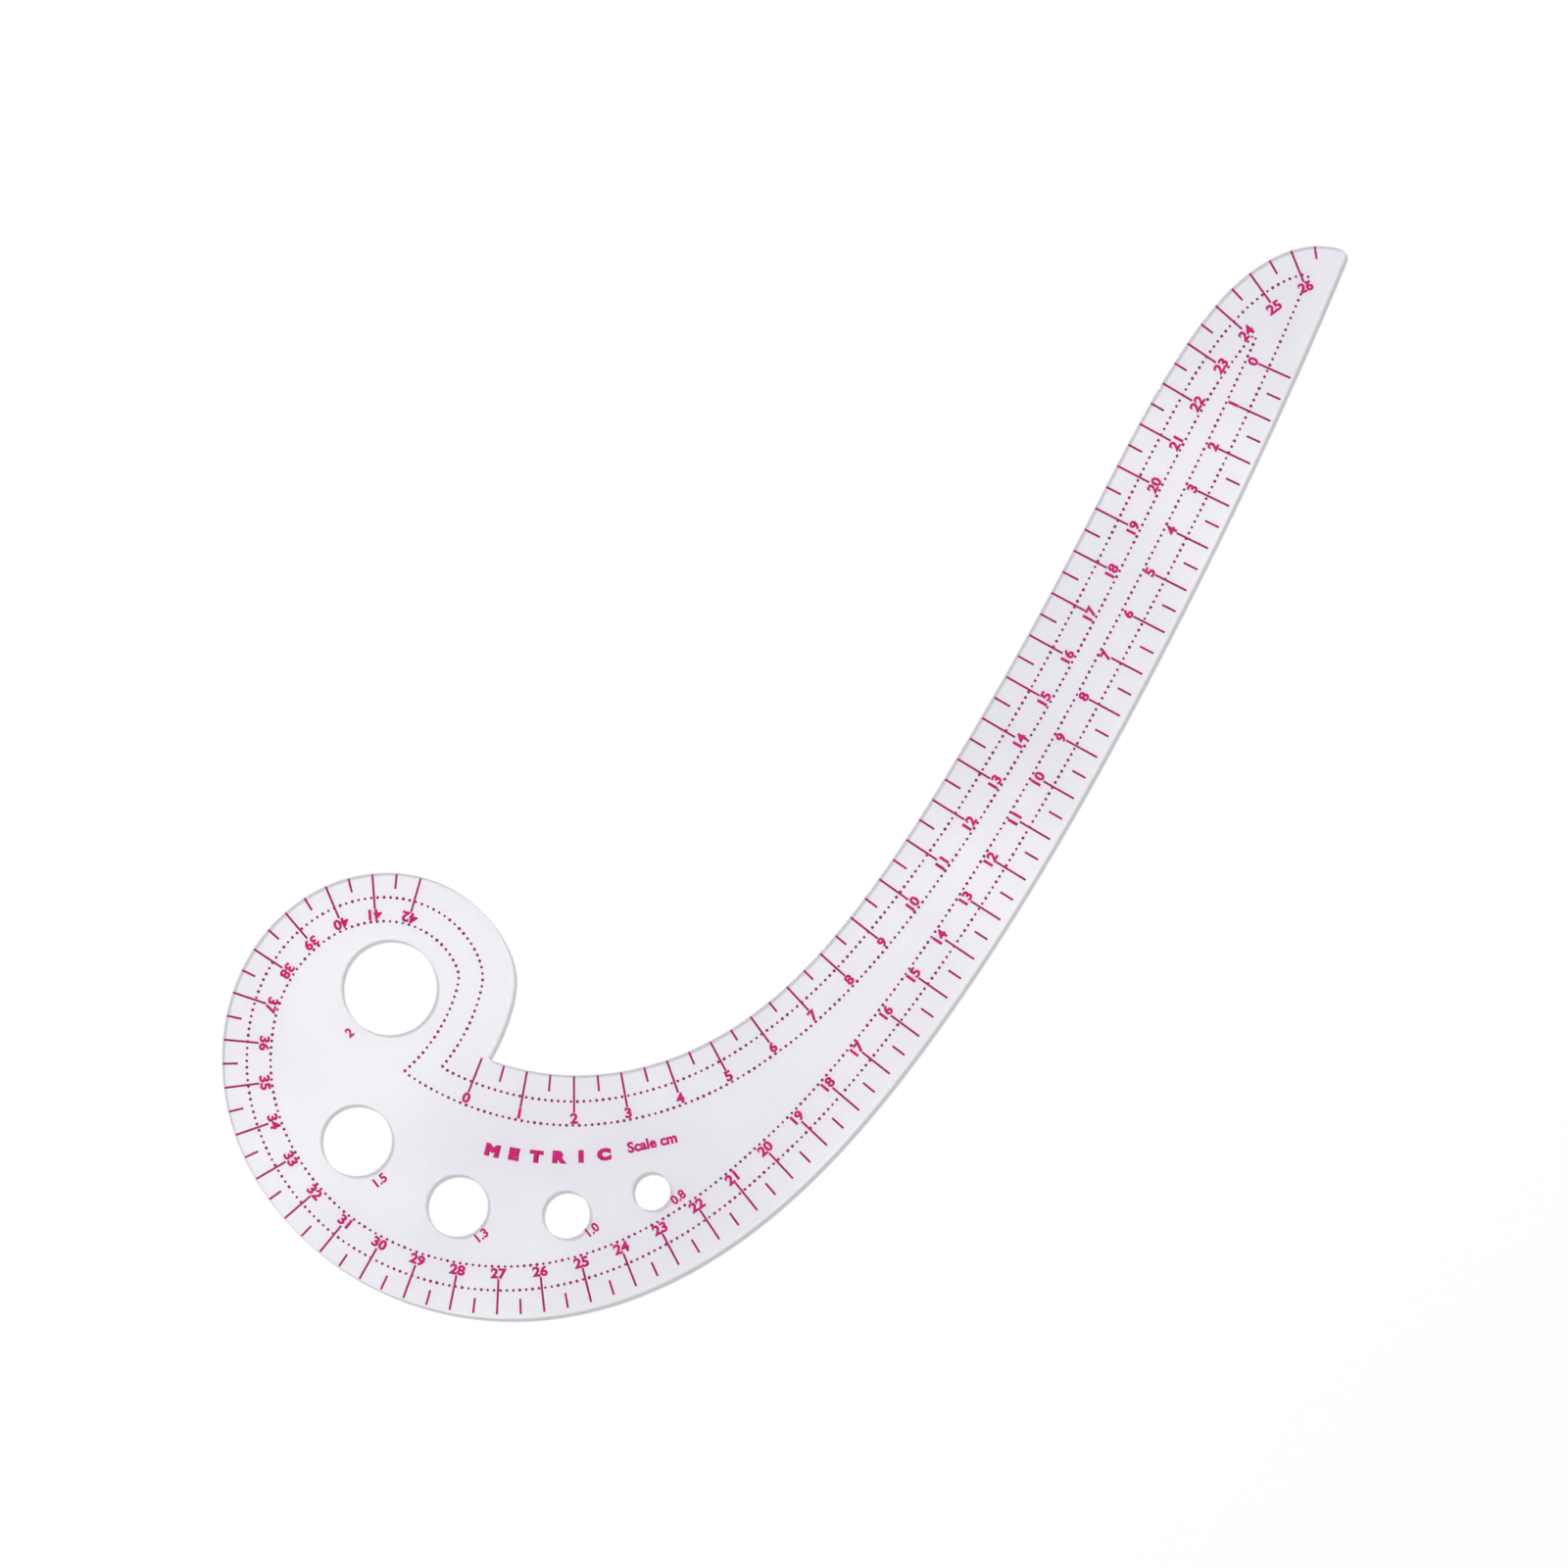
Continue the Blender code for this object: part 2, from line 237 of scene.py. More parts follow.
def drawn_edge(stations, side):
    """Edge from (arc length, radius) stations, with curvature changing evenly between them."""
    places = [place for place, radius in stations]
    curvatures = [1.0 / radius for place, radius in stations]
    length = places[-1]
    before = int(OVERRUN / INTEGRATION_STEP)
    count = int(round((length + OVERRUN) / INTEGRATION_STEP)) + before
    arc = (np.arange(count + 1) - before) * INTEGRATION_STEP
    curvature = np.interp(arc, places, curvatures)
    turned = np.cumsum((curvature[1:] + curvature[:-1]) / 2 * INTEGRATION_STEP)
    headings = np.concatenate([[0.0], turned])
    headings -= headings[before]
    middle = (headings[1:] + headings[:-1]) / 2
    steps = np.stack([np.cos(middle), np.sin(middle)], axis=1) * INTEGRATION_STEP
    points = np.concatenate([[[0.0, 0.0]], np.cumsum(steps, axis=0)])
    points -= points[before]
    return Edge(arc, points, headings, length, side)


def sheet_edges():
    """The outer and the inner edge, laid so that their outline has the packed sheet's centre."""
    head_end = HEAD_STATIONS[-1][0] * HEAD_RADIUS
    stations = [(place * HEAD_RADIUS, radius * HEAD_RADIUS) for place, radius in HEAD_STATIONS]
    stations += [(head_end + place * BLADE_LENGTH, radius) for place, radius in BLADE_STATIONS]
    outer = drawn_edge(stations, side=1)
    tip = outer.at(outer.length)
    chord = math.hypot(*tip)
    outer = outer.moved(CHORD_TILT - math.atan2(tip[1], tip[0]), 1.0, np.zeros(2))
    inner = drawn_edge([(place * chord, radius * chord) for place, radius in INNER_STATIONS], side=-1)
    end = inner.at(inner.length)
    inner = inner.moved(CHORD_TILT - math.atan2(end[1], end[0]), chord / math.hypot(*end), np.zeros(2))

    outline = outline_ring(outer, inner, 0.0)
    middle = (outline.min(axis=0) + outline.max(axis=0)) / 2
    low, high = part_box("curve_plate")
    shift = np.array(((low.x + high.x) / 2, (low.y + high.y) / 2)) - middle
    return outer.moved(0.0, 1.0, shift), inner.moved(0.0, 1.0, shift)


def crossing(a, b):
    """Where two open lines of points cross: each crossing's place along both, in points."""
    da, db = np.diff(a, axis=0), np.diff(b, axis=0)
    gap = b[None, :-1] - a[:-1, None]
    cross = da[:, None, 0] * db[None, :, 1] - da[:, None, 1] * db[None, :, 0]
    cross = np.where(np.abs(cross) < PARALLEL, PARALLEL, cross)
    along_a = (gap[..., 0] * db[None, :, 1] - gap[..., 1] * db[None, :, 0]) / cross
    along_b = (gap[..., 0] * da[:, None, 1] - gap[..., 1] * da[:, None, 0]) / cross
    hits = np.argwhere((along_a >= 0) & (along_a < 1) & (along_b >= 0) & (along_b < 1))
    return [(i + along_a[i, j], j + along_b[i, j]) for i, j in hits]


def notch_crossing(outer, inner, depth):
    """Arc lengths on both edges where their lines at this depth cross, by the notch."""
    s = np.linspace(-OVERRUN, CORNER_REACH, CORNER_POINTS)
    hits = crossing(outer.at(s, depth), inner.at(s, depth))
    return np.interp(max(hits, key=sum), np.arange(CORNER_POINTS), s)


def tip_crossing(outer, inner, depth):
    """Arc lengths on both edges where their lines at this depth cross, by the tip."""
    s = np.linspace(-CORNER_REACH, OVERRUN, CORNER_POINTS)
    hits = crossing(outer.at(outer.length + s, depth), inner.at(inner.length + s, depth))
    places = np.interp(min(hits, key=sum), np.arange(CORNER_POINTS), s)
    return places + (outer.length, inner.length)


def steps_between(start, end, step):
    """Even places from start to end, about step apart."""
    return np.linspace(start, end, max(2, int(round((end - start) / step)) + 1))


def arc_points(centre, start, end, radius, count):
    """Points of the short arc about centre between the directions of start and end, ends left out."""
    first = math.atan2(*(start - centre)[::-1])
    last = math.atan2(*(end - centre)[::-1])
    turn = (last - first + math.pi) % (2 * math.pi) - math.pi
    angles = first + turn * np.arange(1, count) / count
    return centre + radius * np.stack([np.cos(angles), np.sin(angles)], axis=1)


def outline_ring(outer, inner, inset, step=0.001, corner=14):
    """Closed outline of the sheet, anticlockwise, moved into the sheet by inset."""
    outer_tip, inner_tip = tip_crossing(outer, inner, TIP_RADIUS)
    outer_notch, inner_notch = notch_crossing(outer, inner, -NOTCH_RADIUS)
    back = outer.at(steps_between(outer_notch, outer_tip, step), inset)
    front = inner.at(steps_between(inner_notch, inner_tip, step), inset)[::-1]
    tip_centre = outer.at(outer_tip, TIP_RADIUS)
    notch_centre = outer.at(outer_notch, -NOTCH_RADIUS)
    nose = arc_points(tip_centre, back[-1], front[0], TIP_RADIUS - inset, corner)
    root = arc_points(notch_centre, front[-1], back[0], NOTCH_RADIUS + inset, corner)
    return np.concatenate([back, nose, front, root])


def stitch_line(outer, inner, depth, step=0.0005):
    """Closed line of the print that keeps this depth from both edges."""
    outer_tip, inner_tip = tip_crossing(outer, inner, depth)
    outer_notch, inner_notch = notch_crossing(outer, inner, depth)
    back = outer.printed(steps_between(outer_notch, outer_tip, step)[:-1], depth)
    front = inner.printed(steps_between(inner_notch, inner_tip, step)[:0:-1], depth)
    return np.concatenate([back, front])


def mark_axis(edge, s):
    """Direction of a mark, from the edge into the sheet, and the share of its full length."""
    lean, share = 0.0, 1.0
    if edge is inner_edge:
        lean, share = (np.interp(s, INNER_TIP[:, 0], INNER_TIP[:, i]) for i in (1, 2))
    x, y = edge.normal(s)
    cos, sin = math.cos(lean), math.sin(lean)
    return np.array((x * cos - y * sin, x * sin + y * cos)), share


def mark_places():
    """Both scales: (edge, arc lengths of the centimetre marks from 0, of the half marks)."""
    zero = outer_edge.length - OUTER_ZERO_FROM_TIP
    places = outer_edge.spaced(zero, -SCALE_PITCH / 2, 2 * OUTER_LAST + 1)
    scales = {"outer": (outer_edge, places[::2], places[1::2])}
    places = inner_edge.spaced(INNER_ZERO_FROM_NOTCH, SCALE_PITCH / 2, 2 * INNER_LAST + 2)
    scales["inner"] = (inner_edge, places[::2], places[1::2])
    return scales


outer_edge, inner_edge = sheet_edges()


# ---------------------------------------------------------------- settings


class FRENCHCURVE_PG_sheet(bpy.types.PropertyGroup):
    """The clear sheet"""

    tint: bpy.props.FloatVectorProperty(
        name="Tint", description="Colour of the plastic's faint veil", subtype="COLOR",
        size=3, min=0.0, max=1.0, default=(0.77, 0.76, 0.835))
    veil: bpy.props.FloatProperty(
        name="Veil", description="How much of the plastic's own colour each face shows",
        subtype="FACTOR", min=0.0, max=1.0, default=0.18)
    edge_colour: bpy.props.FloatVectorProperty(
        name="Cut edge", description="Colour of the sawn and polished side walls", subtype="COLOR",
        size=3, min=0.0, max=1.0, default=(0.55, 0.56, 0.57))
    edge_veil: bpy.props.FloatProperty(
        name="Cut edge veil", description="How solid the side walls look",
        subtype="FACTOR", min=0.0, max=1.0, default=0.66)


class FRENCHCURVE_PG_print(bpy.types.PropertyGroup):
    """The screen print"""

    mark_ink: bpy.props.FloatVectorProperty(
        name="Mark ink", description="Ink of the scale marks", subtype="COLOR",
        size=3, min=0.0, max=1.0, default=(0.38, 0.010, 0.125))
    numeral_ink: bpy.props.FloatVectorProperty(
        name="Numeral ink", description="Ink of the numerals and words", subtype="COLOR",
        size=3, min=0.0, max=1.0, default=(0.50, 0.006, 0.14))
    stitch_ink: bpy.props.FloatVectorProperty(
        name="Stitch ink", description="Ink of the dotted stitch lines", subtype="COLOR",
        size=3, min=0.0, max=1.0, default=(0.27, 0.018, 0.10))
    mark_width: bpy.props.FloatProperty(
        name="Mark width", description="Width of a scale mark", subtype="DISTANCE", unit="LENGTH",
        default=0.00047)
    mark_reach: bpy.props.FloatProperty(
        name="Mark reach", description="How far in from the edge a centimetre mark reaches",
        subtype="DISTANCE", unit="LENGTH", default=0.0080)
    half_mark_reach: bpy.props.FloatProperty(
        name="Half mark reach", description="How far in from the edge a half centimetre mark reaches",
        subtype="DISTANCE", unit="LENGTH", default=0.0038)
    dot_spacing: bpy.props.FloatProperty(
        name="Dot spacing", description="Distance between the dots of a stitch line",
        subtype="DISTANCE", unit="LENGTH", default=0.00135)
    dot_diameter: bpy.props.FloatProperty(
        name="Dot diameter", description="Diameter of a stitch dot", subtype="DISTANCE",
        unit="LENGTH", default=0.00065)
    numeral_height: bpy.props.FloatProperty(
        name="Numeral height", description="Height of the scale numerals", subtype="DISTANCE",
        unit="LENGTH", default=0.0023)
    label_height: bpy.props.FloatProperty(
        name="Label height", description="Height of the hole sizes", subtype="DISTANCE",
        unit="LENGTH", default=0.0021)
    title_height: bpy.props.FloatProperty(
        name="Title height", description="Height of the title's capitals", subtype="DISTANCE",
        unit="LENGTH", default=0.0027)
    subtitle_height: bpy.props.FloatProperty(
        name="Subtitle height", description="Height of the words after the title", subtype="DISTANCE",
        unit="LENGTH", default=0.0024)


class FRENCHCURVE_PG_stage(bpy.types.PropertyGroup):
    """Floor, light and camera"""

    floor_colour: bpy.props.FloatVectorProperty(
        name="Floor", description="Colour of the plain floor", subtype="COLOR",
        size=3, min=0.0, max=1.0, default=(0.92, 0.92, 0.92))
    sky_strength: bpy.props.FloatProperty(
        name="Soft light", description="Strength of the even light from all round",
        min=0.0, default=0.42)
    key_power: bpy.props.FloatProperty(
        name="Key light", description="Power of the soft box", subtype="POWER", min=0.0,
        default=310.0)
    key_width: bpy.props.FloatProperty(
        name="Key width", description="Diameter of the soft box", subtype="DISTANCE", unit="LENGTH",
        min=0.0, default=1.26)
    key_slant: bpy.props.FloatProperty(
        name="Key slant", description="Angle of the soft box from straight above",
        subtype="ANGLE", unit="ROTATION", default=math.radians(36.0))


SETTINGS = {
    "french_curve_sheet": FRENCHCURVE_PG_sheet,
    "french_curve_print": FRENCHCURVE_PG_print,
    "french_curve_stage": FRENCHCURVE_PG_stage,
}

# ---------------------------------------------------------------- shader groups


def new_group(name, kind, inputs, outputs):
    """Node group with its sockets, each (name, socket type, default). Returns it, its input and output."""
    tree = bpy.data.node_groups.new(name, kind)
    for direction, sockets in (("INPUT", inputs), ("OUTPUT", outputs)):
        for label, socket_type, default in sockets:
            made = tree.interface.new_socket(name=label, in_out=direction, socket_type=socket_type)
            if default is not None:
                made.default_value = default
    return tree, tree.nodes.new("NodeGroupInput"), tree.nodes.new("NodeGroupOutput")


def node(tree, kind, inputs=None, **attributes):
    """New node with attributes and inputs set. An input is a plain value or a socket to link."""
    made = tree.nodes.new(kind)
    for name, value in attributes.items():
        setattr(made, name, value)
    for key, value in (inputs or {}).items():
        if isinstance(value, bpy.types.NodeSocket):
            tree.links.new(value, made.inputs[key])
        else:
            made.inputs[key].default_value = value
    return made


def mapped(tree, value, low, high, to_low, to_high):
    """Value of a clamped map range."""
    return node(tree, "ShaderNodeMapRange", {0: value, 1: low, 2: high, 3: to_low, 4: to_high}).outputs[0]


def maths(tree, operation, a, b=0.0):
    """Value of a maths node."""
    return node(tree, "ShaderNodeMath", {0: a, 1: b}, operation=operation).outputs[0]


def fine_scratches():
    """Hairline scratches in three directions, as a mask."""
    tree, given, result = new_group(
        "Fine scratches", "ShaderNodeTree",
        [("Vector", "NodeSocketVector", None), ("Fineness", "NodeSocketFloat", 900.0),
         ("Amount", "NodeSocketFloat", 0.3)],
        [("Mask", "NodeSocketFloat", None)])
    masks = []
    for turn, shift in ((0.5, 0.0), (-0.9, 3.1), (1.9, 7.7)):
        place = node(tree, "ShaderNodeMapping", {
            "Vector": given.outputs["Vector"], "Location": (shift, shift, 0.0),
            "Rotation": (0.0, 0.0, turn), "Scale": (0.02, 1.0, 1.0)})
        grain = node(tree, "ShaderNodeTexNoise", {
            "Vector": place.outputs[0], "Scale": given.outputs["Fineness"], "Detail": 2.0,
            "Roughness": 0.6})
        patches = node(tree, "ShaderNodeTexNoise", {
            "Vector": place.outputs[0], "Scale": 60.0, "Detail": 1.0})
        line = mapped(tree, grain.outputs[0], 0.66, 0.74, 0.0, 1.0)
        patch = mapped(tree, patches.outputs[0], 0.45, 0.65, 0.0, 1.0)
        masks.append(maths(tree, "MULTIPLY", line, patch))
    lines = maths(tree, "MAXIMUM", maths(tree, "MAXIMUM", masks[0], masks[1]), masks[2])
    tree.links.new(maths(tree, "MULTIPLY", lines, given.outputs["Amount"]), result.inputs["Mask"])
    return tree


def handling_haze():
    """Broad cloudy patches from handling, 0 to 1."""
    tree, given, result = new_group(
        "Handling haze", "ShaderNodeTree",
        [("Vector", "NodeSocketVector", None), ("Scale", "NodeSocketFloat", 16.0)],
        [("Haze", "NodeSocketFloat", None)])
    cloud = node(tree, "ShaderNodeTexNoise", {
        "Vector": given.outputs["Vector"], "Scale": given.outputs["Scale"], "Detail": 4.0,
        "Roughness": 0.5, "Distortion": 0.4})
    tree.links.new(mapped(tree, cloud.outputs[0], 0.35, 0.65, 0.0, 1.0), result.inputs["Haze"])
    return tree


def print_mottle():
    """Uneven laying of screen ink: a mask for its tone and a height for its grain."""
    tree, given, result = new_group(
        "Print mottle", "ShaderNodeTree",
        [("Vector", "NodeSocketVector", None), ("Mesh", "NodeSocketFloat", 5000.0)],
        [("Tone", "NodeSocketFloat", None), ("Grain", "NodeSocketFloat", None)])
    tone = node(tree, "ShaderNodeTexNoise", {
        "Vector": given.outputs["Vector"], "Scale": 900.0, "Detail": 3.0, "Roughness": 0.7})
    grain = node(tree, "ShaderNodeTexVoronoi", {
        "Vector": given.outputs["Vector"], "Scale": given.outputs["Mesh"], "Randomness": 0.3})
    tree.links.new(mapped(tree, tone.outputs[0], 0.35, 0.7, 0.0, 1.0), result.inputs["Tone"])
    tree.links.new(grain.outputs["Distance"], result.inputs["Grain"])
    return tree


def shader_group(build):
    """The shader group that build makes, made once."""
    name = build.__name__.replace("_", " ").capitalize()
    return bpy.data.node_groups.get(name) or build()


# ---------------------------------------------------------------- materials

PLASTIC_IOR = 1.49
CLOUDINESS = 0.22                 # how far the haze moves the veil, as a share of it
SCRATCH_VEIL = 0.12
RIM_VEIL = 0.35                   # where a face is seen edge on


def new_material(name):
    """Material with a Principled shader. Returns it, its tree, the shader and Object coordinates."""
    made = bpy.data.materials.new(name)
    made.use_nodes = True
    tree = made.node_tree
    shader = tree.nodes["Principled BSDF"]
    place = tree.nodes.new("ShaderNodeTexCoord").outputs["Object"]
    return made, tree, shader, place


def group_node(tree, build, inputs):
    """The shader group that build makes, placed in a material."""
    return node(tree, "ShaderNodeGroup", inputs, node_tree=shader_group(build))


def mixed(tree, factor, a, b):
    """Colour between a and b. Inputs 6 and 7 and output 2 are the node's colour sockets."""
    made = node(tree, "ShaderNodeMix", {"Factor": factor}, data_type="RGBA")
    made.inputs[6].default_value = (*a, 1.0)
    made.inputs[7].default_value = (*b, 1.0)
    return made.outputs[2]


def shaded(colour, factor):
    """The colour made darker or paler."""
    return tuple(min(1.0, part * factor) for part in colour)


def clear_plastic(settings):
    """Clear sheet: nearly see-through, glossy, a little hazy and scratched from use."""
    made, tree, shader, place = new_material("clear_sheet_plastic")
    haze = group_node(tree, handling_haze, {"Vector": place}).outputs["Haze"]
    scratches = group_node(tree, fine_scratches, {"Vector": place}).outputs["Mask"]
    tone = mixed(tree, haze, settings.tint, shaded(settings.tint, 1.08))
    tree.links.new(tone, shader.inputs["Base Color"])
    rim = node(tree, "ShaderNodeLayerWeight", {"Blend": 0.25}).outputs["Facing"]
    most, least = settings.veil * (1 + CLOUDINESS), settings.veil * (1 - CLOUDINESS)
    cloudy = mapped(tree, haze, 0.0, 1.0, most, least)
    veil = maths(tree, "ADD", cloudy, maths(tree, "MULTIPLY", scratches, SCRATCH_VEIL))
    veil = maths(tree, "ADD", veil, maths(tree, "MULTIPLY", rim, RIM_VEIL))
    tree.links.new(veil, shader.inputs["Alpha"])
    smudged = mapped(tree, haze, 0.0, 1.0, 0.05, 0.12)
    rough = maths(tree, "ADD", smudged, maths(tree, "MULTIPLY", scratches, 0.5))
    tree.links.new(rough, shader.inputs["Roughness"])
    bump = node(tree, "ShaderNodeBump", {"Height": scratches, "Strength": 0.15, "Distance": 0.00005})
    tree.links.new(bump.outputs[0], shader.inputs["Normal"])
    shader.inputs["IOR"].default_value = PLASTIC_IOR
    return made


def cut_edge(settings):
    """Side walls: sawn, then flame polished, with faint upright tool marks."""
    made, tree, shader, place = new_material("cut_edge_plastic")
    marks = node(tree, "ShaderNodeMapping", {"Vector": place, "Scale": (1.0, 1.0, 0.04)})
    grooves = node(tree, "ShaderNodeTexNoise", {
        "Vector": marks.outputs[0], "Scale": 2600.0, "Detail": 3.0, "Roughness": 0.6}).outputs[0]
    darker, paler = shaded(settings.edge_colour, 0.85), shaded(settings.edge_colour, 1.15)
    tree.links.new(mixed(tree, grooves, darker, paler), shader.inputs["Base Color"])
    tree.links.new(mapped(tree, grooves, 0.2, 0.8, 0.12, 0.35), shader.inputs["Roughness"])
    bump = node(tree, "ShaderNodeBump", {"Height": grooves, "Strength": 0.3, "Distance": 0.00003})
    tree.links.new(bump.outputs[0], shader.inputs["Normal"])
    shader.inputs["Alpha"].default_value = settings.edge_veil
    shader.inputs["IOR"].default_value = PLASTIC_IOR
    return made


def ink(name, colour):
    """Screen ink: satin, unevenly laid, with the grain of the screen."""
    made, tree, shader, place = new_material(name)
    mottle = group_node(tree, print_mottle, {"Vector": place})
    tree.links.new(mixed(tree, mottle.outputs["Tone"], shaded(colour, 0.8), shaded(colour, 1.3)),
                   shader.inputs["Base Color"])
    tree.links.new(mapped(tree, mottle.outputs["Tone"], 0.0, 1.0, 0.38, 0.6), shader.inputs["Roughness"])
    shader.inputs["Specular IOR Level"].default_value = 0.25
    bump = node(tree, "ShaderNodeBump", {
        "Height": mottle.outputs["Grain"], "Strength": 0.25, "Distance": 0.00002})
    tree.links.new(bump.outputs[0], shader.inputs["Normal"])
    return made


def made_once(name, build, *values):
    """The material of this name, built on first use."""
    return bpy.data.materials.get(name) or build(*values)


# ---------------------------------------------------------------- meshes


def finish_piece(piece, nodes=()):
    """Puts a finished piece on the body and hides the packed solids it stands for."""
    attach(piece, "root")
    if nodes:
        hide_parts(*nodes)


def printed_piece(piece, nodes=()):
    """Finishes a piece of the print. Ink on the clear sheet throws no shadow of its own."""
    piece.visible_shadow = False
    finish_piece(piece, nodes)


def new_piece(name, mesh, materials):
    """Object of the mesh, at the origin. Its materials are added if it has none."""
    mesh.name = name
    if not mesh.materials:
        for finish in materials:
            mesh.materials.append(finish)
    piece = bpy.data.objects.new(name, mesh)
    bpy.context.scene.collection.objects.link(piece)
    return piece


def line_object(name, lines, closed, thickness):
    """Object of edges along lines of (x, y) points, halfway up a layer of ink of this thickness."""
    height = SHEET_TOP + INK_GAP + thickness / 2
    points, edges = [], []
    for line in lines:
        first = len(points)
        points += [(x, y, height) for x, y in line]
        edges += [(first + i, first + i + 1) for i in range(len(line) - 1)]
        if closed:
            edges.append((len(points) - 1, first))
    mesh = bpy.data.meshes.new(name)
    mesh.from_pydata(points, edges, [])
    made = bpy.data.objects.new(name, mesh)
    bpy.context.scene.collection.objects.link(made)
    return made


def grown(name, lines, closed, tree, values):
    """Piece that a geometry tree grows along lines, as a plain mesh."""
    host = line_object(name + "_lines", lines, closed, values["Thickness"])
    modifier = host.modifiers.new(name, "NODES")
    modifier.node_group = tree
    for item in tree.interface.items_tree:
        if item.in_out == "INPUT" and item.name in values:
            modifier[item.identifier] = values[item.name]
    bpy.context.view_layer.update()
    graph = bpy.context.evaluated_depsgraph_get()
    mesh = bpy.data.meshes.new_from_object(host.evaluated_get(graph))
    host.modifiers.remove(modifier)
    bpy.data.objects.remove(host)
    if not mesh.polygons:
        raise RuntimeError(f"{name} came out empty")
    return new_piece(name, mesh, [values["Ink"]])


def scale_strokes(name, edge, places, reach):
    """Lines of the marks at these places. None begins closer to the cut edge than its rounding."""
    strokes = []
    for s in places:
        root = edge.printed(s, 0.0)
        inside = float(edge.normal(s) @ (root - edge.at(s)))
        start = max(MARK_START[name], EDGE_ROUND - inside)
        axis, share = mark_axis(edge, s)
        strokes.append([root + axis * start, root + axis * reach * share])
    return strokes


def stroke_tree():
    """Printed strokes: a flat ribbon of ink along each line, with softened ends and wavering sides."""
    tree, given, result = new_group(
        "Printed strokes", "GeometryNodeTree",
        [("Lines", "NodeSocketGeometry", None), ("Width", "NodeSocketFloat", 0.0004),
         ("Thickness", "NodeSocketFloat", 0.00004), ("Waver", "NodeSocketFloat", 0.15),
         ("Step", "NodeSocketFloat", 0.0006), ("Ink", "NodeSocketMaterial", None)],
        [("Strokes", "NodeSocketGeometry", None)])
    curve = node(tree, "GeometryNodeMeshToCurve", {0: given.outputs["Lines"]})
    even = node(tree, "GeometryNodeResampleCurve", {"Curve": curve.outputs[0]})
    even.mode = "LENGTH"
    tree.links.new(given.outputs["Step"], even.inputs["Length"])
    upright = node(tree, "GeometryNodeSetCurveNormal", {"Curve": even.outputs[0]})
    upright.mode = "Z_UP"
    along = node(tree, "GeometryNodeSplineParameter").outputs["Factor"]
    from_end = maths(tree, "MINIMUM", along, maths(tree, "SUBTRACT", 1.0, along))
    taper = mapped(tree, from_end, 0.0, 0.06, 0.7, 1.0)
    noise = node(tree, "ShaderNodeTexNoise", {"Scale": 1400.0, "Detail": 2.0}).outputs[0]
    waver = maths(tree, "MULTIPLY", maths(tree, "SUBTRACT", noise, 0.5), given.outputs["Waver"])
    radius = maths(tree, "ADD", taper, waver)
    wide = node(tree, "GeometryNodeSetCurveRadius", {"Curve": upright.outputs[0], "Radius": radius})
    profile = node(tree, "GeometryNodeCurvePrimitiveQuadrilateral", {
        "Width": given.outputs["Width"], "Height": given.outputs["Thickness"]})
    ribbon = node(tree, "GeometryNodeCurveToMesh", {
        "Curve": wide.outputs[0], "Profile Curve": profile.outputs[0], "Fill Caps": True})
    real = node(tree, "GeometryNodeRealizeInstances", {0: ribbon.outputs[0]})
    inked = node(tree, "GeometryNodeSetMaterial", {0: real.outputs[0], "Material": given.outputs["Ink"]})
    tree.links.new(inked.outputs[0], result.inputs[0])
    return tree


def dot_tree():
    """Stitch dots: round dots of ink, evenly spaced along a closed line, each a little different."""
    tree, given, result = new_group(
        "Stitch dots", "GeometryNodeTree",
        [("Lines", "NodeSocketGeometry", None), ("Spacing", "NodeSocketFloat", 0.0013),
         ("Diameter", "NodeSocketFloat", 0.00045), ("Thickness", "NodeSocketFloat", 0.00004),
         ("Unevenness", "NodeSocketFloat", 0.15), ("Seed", "NodeSocketInt", 3),
         ("Ink", "NodeSocketMaterial", None)],
        [("Dots", "NodeSocketGeometry", None)])
    curve = node(tree, "GeometryNodeMeshToCurve", {0: given.outputs["Lines"]})
    points = node(tree, "GeometryNodeCurveToPoints", {"Curve": curve.outputs[0]})
    points.mode = "LENGTH"
    tree.links.new(given.outputs["Spacing"], points.inputs["Length"])
    disc = node(tree, "GeometryNodeMeshCylinder", {
        "Vertices": 10, "Radius": maths(tree, "MULTIPLY", given.outputs["Diameter"], 0.5),
        "Depth": given.outputs["Thickness"]}, fill_type="NGON")
    least = maths(tree, "SUBTRACT", 1.0, given.outputs["Unevenness"])
    most = maths(tree, "ADD", 1.0, given.outputs["Unevenness"])
    # Inputs 2 and 3 and output 1 are the random value's number sockets.
    chance = node(tree, "FunctionNodeRandomValue", data_type="FLOAT")
    tree.links.new(least, chance.inputs[2])
    tree.links.new(most, chance.inputs[3])
    tree.links.new(given.outputs["Seed"], chance.inputs["Seed"])
    size = node(tree, "ShaderNodeCombineXYZ", {0: chance.outputs[1], 1: chance.outputs[1], 2: 1.0})
    dots = node(tree, "GeometryNodeInstanceOnPoints", {
        "Points": points.outputs[0], "Instance": disc.outputs[0], "Scale": size.outputs[0]})
    real = node(tree, "GeometryNodeRealizeInstances", {0: dots.outputs[0]})
    inked = node(tree, "GeometryNodeSetMaterial", {0: real.outputs[0], "Material": given.outputs["Ink"]})
    tree.links.new(inked.outputs[0], result.inputs[0])
    return tree


def geometry_tree(name, build):
    """The node tree of this name, built on first use."""
    return bpy.data.node_groups.get(name) or build()


